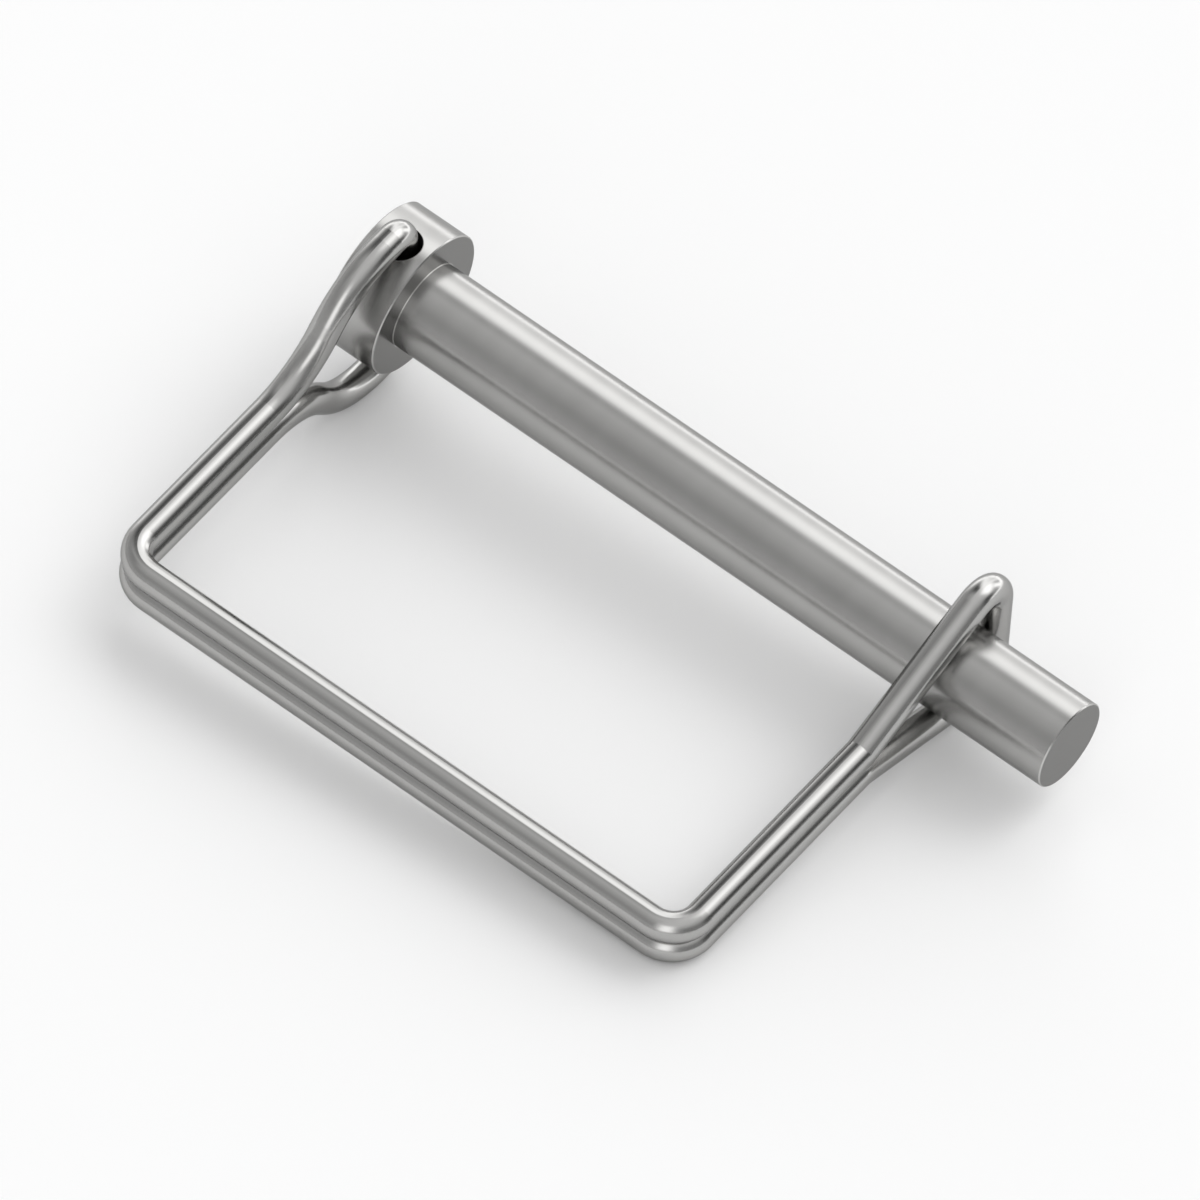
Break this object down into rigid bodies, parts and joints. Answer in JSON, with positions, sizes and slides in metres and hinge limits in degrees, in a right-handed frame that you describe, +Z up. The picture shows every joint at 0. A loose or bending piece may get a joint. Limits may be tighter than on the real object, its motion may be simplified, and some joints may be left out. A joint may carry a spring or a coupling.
{
  "type": "retainer pin",
  "caption": "Headed round pin with a square frame of doubled spring wire that swings on the head and snaps over the shank as a loop.",
  "frame": {"origin": "on the surface that the closed pin lies on, under the middle of its bounding box", "axes": "+X along the pin from its head to its tip, level to 2.6 degrees; +Y across, from the retainer's bar to the pin; +Z up from the surface"},
  "size_m": [0.0862, 0.0528, 0.0234],
  "materials": {
    "pin_steel": "turned and satin polished",
    "wire_steel": "drawn and polished spring wire"
  },
  "bodies": {
    "pin": {"headed_pin": "pin_steel"},
    "retainer": {"retainer_wire": "wire_steel"}
  },
  "joints": [
    {"name": "retainer_swing", "type": "hinge", "parent": "pin", "child": "retainer", "pos_m": [-0.03957, 0.01771, 0.01209], "axis": [0.0455, -0.1388, 0.9893], "range_deg": [-240, 0], "deforming": ["retainer_wire"]}
  ]
}
